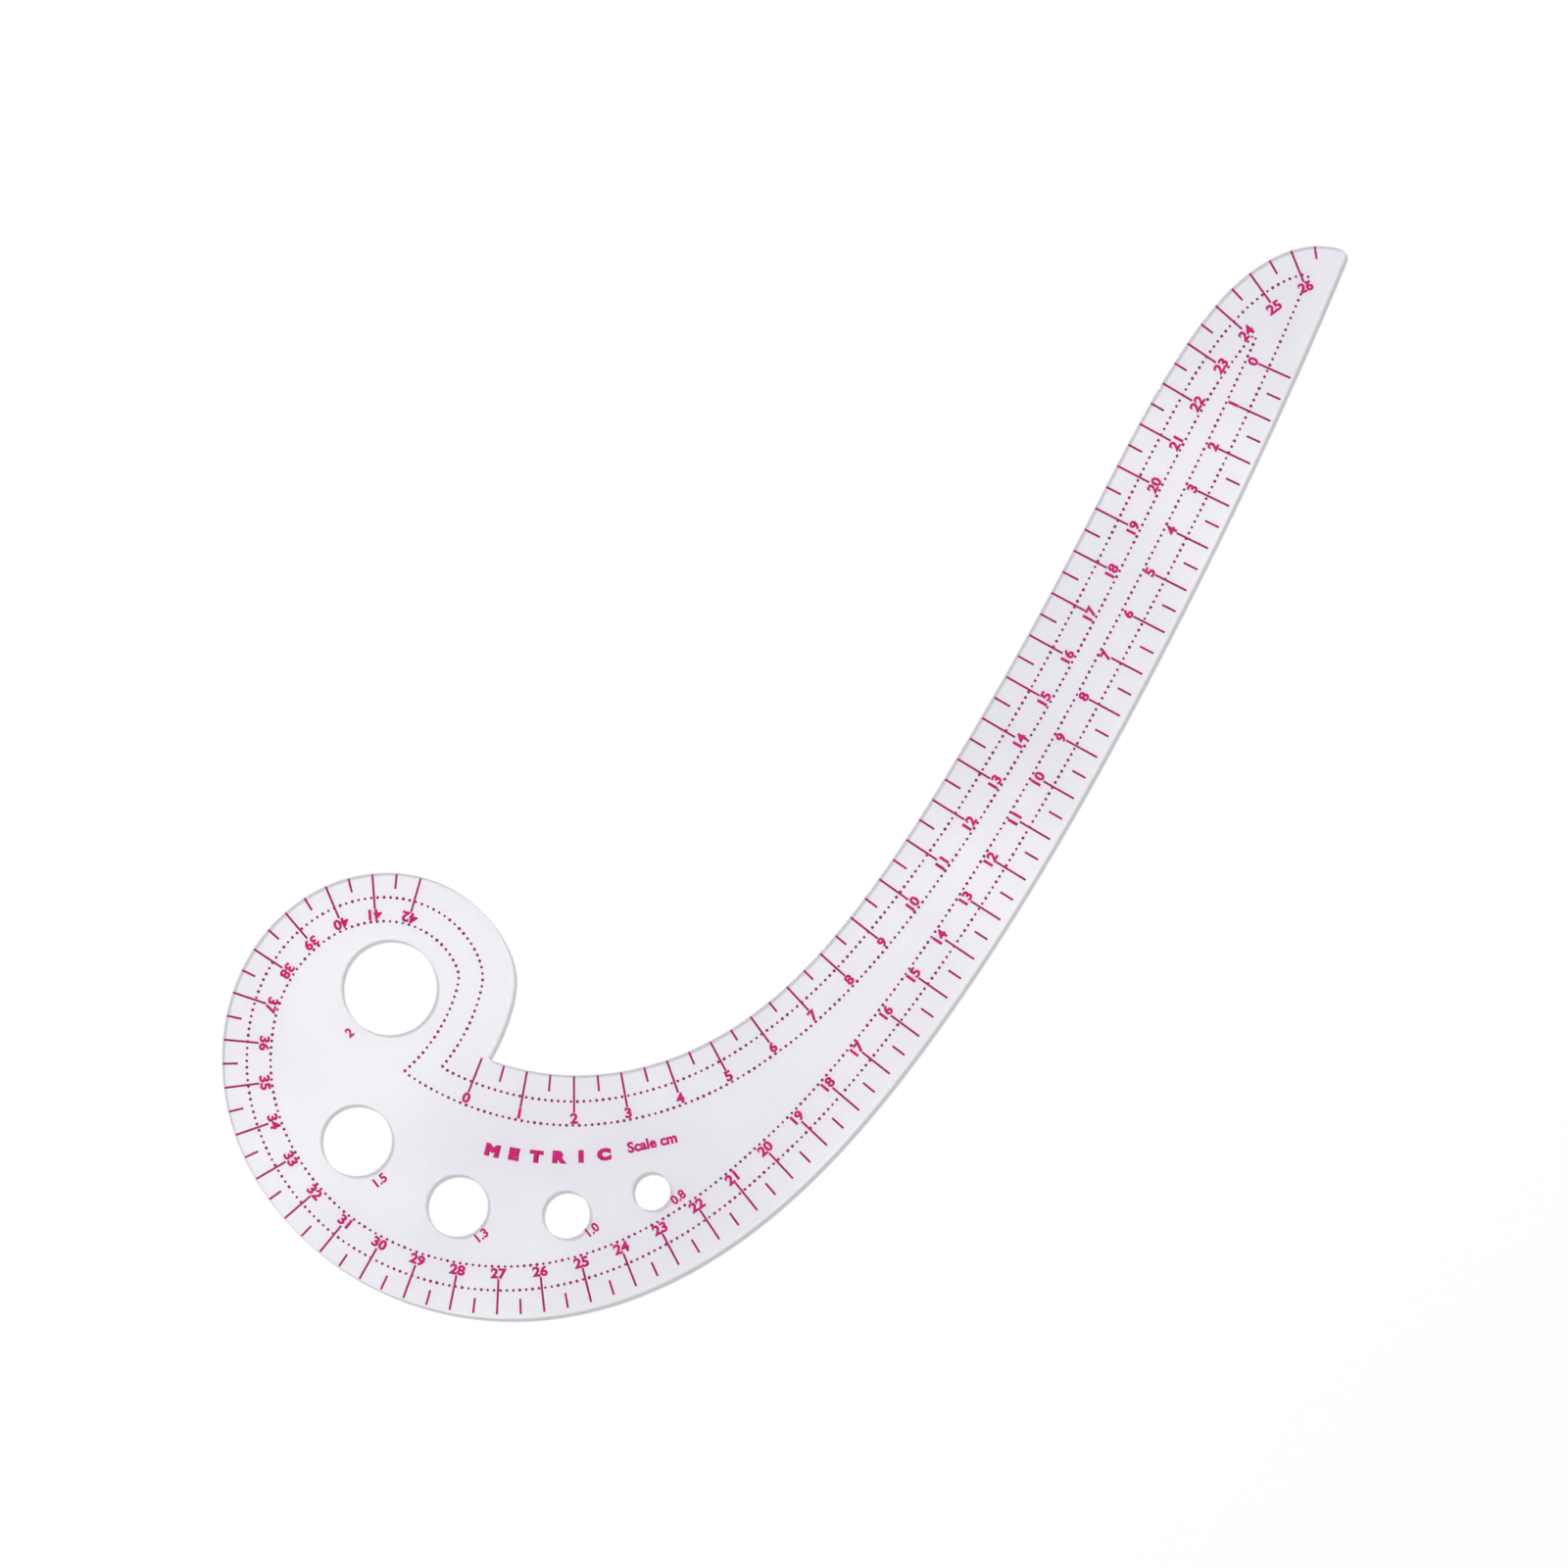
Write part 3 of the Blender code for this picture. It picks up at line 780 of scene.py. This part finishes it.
def add_wall(bm, rings, slots):
    """Quads between rings of (x, y) points, each with its z. Returns the first and last ring's edges."""
    levels = [[bm.verts.new((x, y, z)) for x, y in ring] for ring, z in rings]
    for lower, upper, slot in zip(levels, levels[1:], slots):
        for i, corner in enumerate(lower):
            after = (i + 1) % len(lower)
            face = bm.faces.new((corner, lower[after], upper[after], upper[i]))
            face.material_index = slot
            face.smooth = True
    ends = []
    for level in (levels[0], levels[-1]):
        ends.append([bm.edges.get((level[i - 1], level[i])) for i in range(len(level))])
    return ends


def sheet_mesh():
    """The sheet with rounded rims on its outline and its holes. Its side walls have the second finish."""
    levels = [(EDGE_ROUND + RIM_LAND, 0.0)]   # (inset, height) of each ring, from the underside up
    for i in range(ROUND_STEPS + 1):
        angle = math.pi / 2 * i / ROUND_STEPS
        levels.append((EDGE_ROUND * (1 - math.sin(angle)), EDGE_ROUND * (1 - math.cos(angle))))
    levels += [(inset, SHEET_TOP - z) for inset, z in reversed(levels)]
    upright = len(levels) // 2 - 1
    slots = [int(i == upright) for i in range(len(levels) - 1)]
    bm = bmesh.new()
    rings = [(outline_ring(outer_edge, inner_edge, inset), z) for inset, z in levels]
    walls = [add_wall(bm, rings, slots)]
    angles = -2 * math.pi * np.arange(HOLE_SIDES) / HOLE_SIDES
    circle = np.stack([np.cos(angles), np.sin(angles)], axis=1)
    for diameter, centre in HOLES:
        rings = [(np.array(centre) + circle * (diameter / 2 + inset), z) for inset, z in levels]
        walls.append(add_wall(bm, rings, slots))
    for end in (0, 1):
        edges = [edge for wall_ends in walls for edge in wall_ends[end]]
        bmesh.ops.triangle_fill(bm, use_beauty=True, use_dissolve=False, edges=edges)
    bmesh.ops.recalc_face_normals(bm, faces=bm.faces)
    for face in bm.faces:
        face.smooth = True
    mesh = bpy.data.meshes.new("clear_sheet")
    bm.to_mesh(mesh)
    bm.free()
    return mesh


class Lettering:
    """Collects words as thin solid ink, each placed on the sheet, and joins them into one mesh."""

    def __init__(self, name):
        self.name = name
        self.bm = bmesh.new()
        self.font = bpy.data.curves.new(name + "_font", "FONT")
        self.font.align_x = "CENTER"
        self.font.resolution_u = 3
        self.font.bevel_resolution = 1
        self.host = bpy.data.objects.new(name + "_font", self.font)
        bpy.context.scene.collection.objects.link(self.host)

    def add(self, words, height, middle, up, boldness, widening):
        """Words of this height, centred on middle, with their upright along up."""
        self.font.body = words
        self.font.bevel_depth = boldness
        bpy.context.view_layer.update()
        graph = bpy.context.evaluated_depsgraph_get()
        solid = bpy.data.meshes.new_from_object(self.host.evaluated_get(graph))
        corners = np.array([corner.co for corner in solid.vertices])
        low, high = corners.min(axis=0), corners.max(axis=0)
        scale = height / (high[1] - low[1])
        centre = (low + high) / 2
        up = Vector((*up, 0.0)).normalized()
        across = Vector((up.y, -up.x, 0.0))
        place = Matrix.Identity(4)
        place.col[0] = (*(across * scale * widening), 0.0)
        place.col[1] = (*(up * scale), 0.0)
        place.col[2] = (0.0, 0.0, LETTER_THICKNESS / (high[2] - low[2]), 0.0)
        place.col[3] = (*middle, SHEET_TOP + INK_GAP, 1.0)
        solid.transform(place @ Matrix.Translation((-centre[0], -centre[1], -low[2])))
        self.bm.from_mesh(solid)
        bpy.data.meshes.remove(solid)

    def finish(self, material):
        """The joined words as a piece, each letter a closed solid."""
        bm = self.bm
        bmesh.ops.remove_doubles(bm, verts=bm.verts, dist=MERGE_DISTANCE)
        bmesh.ops.recalc_face_normals(bm, faces=bm.faces)
        mesh = bpy.data.meshes.new(self.name)
        bm.to_mesh(mesh)
        bm.free()
        bpy.data.objects.remove(self.host)
        bpy.data.curves.remove(self.font)
        return new_piece(self.name, mesh, [material])


# ---------------------------------------------------------------- operators


class FRENCHCURVE_OT_sheet(bpy.types.Operator):
    """Make the clear sheet with its template holes"""

    bl_idname = "french_curve.sheet"
    bl_label = "Clear Sheet"

    def execute(self, context):
        settings = context.scene.french_curve_sheet
        finishes = [made_once("clear_sheet_plastic", clear_plastic, settings),
                    made_once("cut_edge_plastic", cut_edge, settings)]
        piece = new_piece("clear_sheet", sheet_mesh(), finishes)
        finish_piece(piece, ["curve_plate"])
        return {"FINISHED"}


class FRENCHCURVE_OT_marks(bpy.types.Operator):
    """Print the centimetre and half centimetre marks along both edges"""

    bl_idname = "french_curve.marks"
    bl_label = "Scale Marks"

    def execute(self, context):
        settings = context.scene.french_curve_print
        finish = made_once("mark_ink", ink, "mark_ink", settings.mark_ink)
        tree = geometry_tree("Printed strokes", stroke_tree)
        values = {"Width": settings.mark_width, "Thickness": MARK_THICKNESS, "Ink": finish}
        for name, (edge, full, half) in mark_places().items():
            strokes = scale_strokes(name, edge, full, settings.mark_reach)
            strokes += scale_strokes(name, edge, half, settings.half_mark_reach)
            piece = grown(name + "_scale_marks", strokes, False, tree, values)
            printed_piece(piece, [name + "_scale_print"])
        return {"FINISHED"}


class FRENCHCURVE_OT_stitches(bpy.types.Operator):
    """Print the two dotted stitch lines that follow the outline"""

    bl_idname = "french_curve.stitches"
    bl_label = "Stitch Lines"

    def execute(self, context):
        settings = context.scene.french_curve_print
        finish = made_once("stitch_ink", ink, "stitch_ink", settings.stitch_ink)
        tree = geometry_tree("Stitch dots", dot_tree)
        values = {"Spacing": settings.dot_spacing, "Diameter": settings.dot_diameter,
                  "Thickness": STITCH_THICKNESS, "Ink": finish}
        for name, depth, nodes in (("near_stitch_dots", NEAR_LINE_DEPTH, ()),
                                   ("far_stitch_dots", FAR_LINE_DEPTH, ("far_seam_print",))):
            line = stitch_line(outer_edge, inner_edge, depth)
            piece = grown(name, [line], True, tree, values)
            printed_piece(piece, nodes)
        return {"FINISHED"}


class FRENCHCURVE_OT_numerals(bpy.types.Operator):
    """Print the numerals of both scales"""

    bl_idname = "french_curve.numerals"
    bl_label = "Numerals"

    def execute(self, context):
        settings = context.scene.french_curve_print
        finish = made_once("numeral_ink", ink, "numeral_ink", settings.numeral_ink)
        for name, (edge, full, half) in mark_places().items():
            numerals = Lettering(name + "_numerals")
            for number, s in enumerate(full):
                inward, share = mark_axis(edge, s)
                up = inward if name == "outer" else -inward
                middle = edge.printed(s, 0.0) + inward * NUMERAL_DEPTH * share
                numerals.add(str(number), settings.numeral_height, middle, up, **NUMERAL_WEIGHT)
            printed_piece(numerals.finish(finish))
        return {"FINISHED"}


class FRENCHCURVE_OT_labels(bpy.types.Operator):
    """Print the size of each template hole and the plain title"""

    bl_idname = "french_curve.labels"
    bl_label = "Labels"

    def execute(self, context):
        settings = context.scene.french_curve_print
        finish = made_once("numeral_ink", ink, "numeral_ink", settings.numeral_ink)
        labels = Lettering("hole_labels")
        up = (math.cos(LABEL_UP), math.sin(LABEL_UP))
        for words, middle in HOLE_LABELS:
            labels.add(words, settings.label_height, middle, up, **LABEL_WEIGHT)
        printed_piece(labels.finish(finish))

        title = Lettering("title_words")
        lines = [(*letter, settings.title_height, TITLE_WEIGHT) for letter in TITLE_LETTERS]
        lines.append((*SUBTITLE, settings.subtitle_height, SUBTITLE_WEIGHT))
        for words, s, depth, height, weight in lines:
            title.add(words, height, inner_edge.at(s, depth), -inner_edge.normal(s), **weight)
        printed_piece(title.finish(finish))
        return {"FINISHED"}


class FRENCHCURVE_OT_stage(bpy.types.Operator):
    """Make the plain floor, the soft light and the camera"""

    bl_idname = "french_curve.stage"
    bl_label = "Stage"

    def execute(self, context):
        settings = context.scene.french_curve_stage
        scene = context.scene
        scene.view_settings.view_transform = "Standard"
        self.floor(settings)
        self.surround(scene, settings)
        self.camera(scene)
        self.soft_box(scene, settings)
        return {"FINISHED"}

    def surround(self, scene, settings):
        """Even white light from all round."""
        world = bpy.data.worlds.new("soft_surround")
        world.use_nodes = True
        background = world.node_tree.nodes["Background"]
        background.inputs["Color"].default_value = (1.0, 1.0, 1.0, 1.0)
        background.inputs["Strength"].default_value = settings.sky_strength
        scene.world = world

    def camera(self, scene):
        """Camera straight above, turned so that the view's right-hand side is at VIEW_TURN."""
        camera = bpy.data.cameras.new("camera")
        camera.lens = camera.sensor_width * CAMERA_HEIGHT / VIEW_WIDTH
        camera.clip_end = 50.0
        holder = bpy.data.objects.new("camera", camera)
        holder.location = VIEW_MIDDLE + Vector((0.0, 0.0, CAMERA_HEIGHT))
        holder.rotation_euler = (0.0, 0.0, VIEW_TURN)
        scene.collection.objects.link(holder)
        scene.camera = holder

    def soft_box(self, scene, settings):
        """Round soft box that shines from the view's upper left."""
        key = bpy.data.lights.new("soft_box", "AREA")
        key.shape = "DISK"
        key.size = settings.key_width
        key.energy = settings.key_power
        lamp = bpy.data.objects.new("soft_box", key)
        side, slant = VIEW_TURN + LIGHT_SIDE, settings.key_slant
        level = math.sin(slant)
        away = Vector((math.cos(side) * level, math.sin(side) * level, math.cos(slant)))
        lamp.location = VIEW_MIDDLE + away * LIGHT_DISTANCE
        lamp.rotation_euler = away.to_track_quat("Z", "Y").to_euler()
        scene.collection.objects.link(lamp)

    def floor(self, settings):
        """Wide plain floor under the sheet."""
        mesh = bpy.data.meshes.new("floor")
        corners = [(x * FLOOR_HALF, y * FLOOR_HALF, -FLOOR_GAP)
                   for x, y in ((-1, -1), (1, -1), (1, 1), (-1, 1))]
        mesh.from_pydata(corners, [], [(0, 1, 2, 3)])
        made, tree, shader, place = new_material("floor_paper")
        grain = node(tree, "ShaderNodeTexNoise", {"Vector": place, "Scale": 700.0, "Detail": 4.0})
        tone = mixed(tree, grain.outputs[0], shaded(settings.floor_colour, 0.995), settings.floor_colour)
        tree.links.new(tone, shader.inputs["Base Color"])
        shader.inputs["Roughness"].default_value = 0.9
        shader.inputs["Specular IOR Level"].default_value = 0.1
        new_piece("floor", mesh, [made])


OPERATORS = (
    FRENCHCURVE_OT_sheet,
    FRENCHCURVE_OT_marks,
    FRENCHCURVE_OT_stitches,
    FRENCHCURVE_OT_numerals,
    FRENCHCURVE_OT_labels,
    FRENCHCURVE_OT_stage,
)


class FRENCHCURVE_PT_panel(bpy.types.Panel):
    """Buttons and settings of the french curve"""

    bl_idname = "FRENCHCURVE_PT_panel"
    bl_label = "French Curve"
    bl_space_type = "VIEW_3D"
    bl_region_type = "UI"
    bl_category = "French Curve"

    def draw(self, context):
        for name, group in SETTINGS.items():
            box = self.layout.box()
            box.label(text=group.__doc__)
            settings = getattr(context.scene, name)
            for prop in group.__annotations__:
                box.prop(settings, prop)
        for operator in OPERATORS:
            self.layout.operator(operator.bl_idname)


CLASSES = (*SETTINGS.values(), *OPERATORS, FRENCHCURVE_PT_panel)


def register():
    for item in CLASSES:
        bpy.utils.register_class(item)
    for name, group in SETTINGS.items():
        setattr(bpy.types.Scene, name, bpy.props.PointerProperty(type=group))


def unregister():
    for name in SETTINGS:
        delattr(bpy.types.Scene, name)
    for item in reversed(CLASSES):
        bpy.utils.unregister_class(item)


def main():
    register()
    for operator in OPERATORS:
        prefix, name = operator.bl_idname.split(".")
        getattr(getattr(bpy.ops, prefix), name)()
    bpy.context.view_layer.update()


if __name__ == "__main__":
    main()
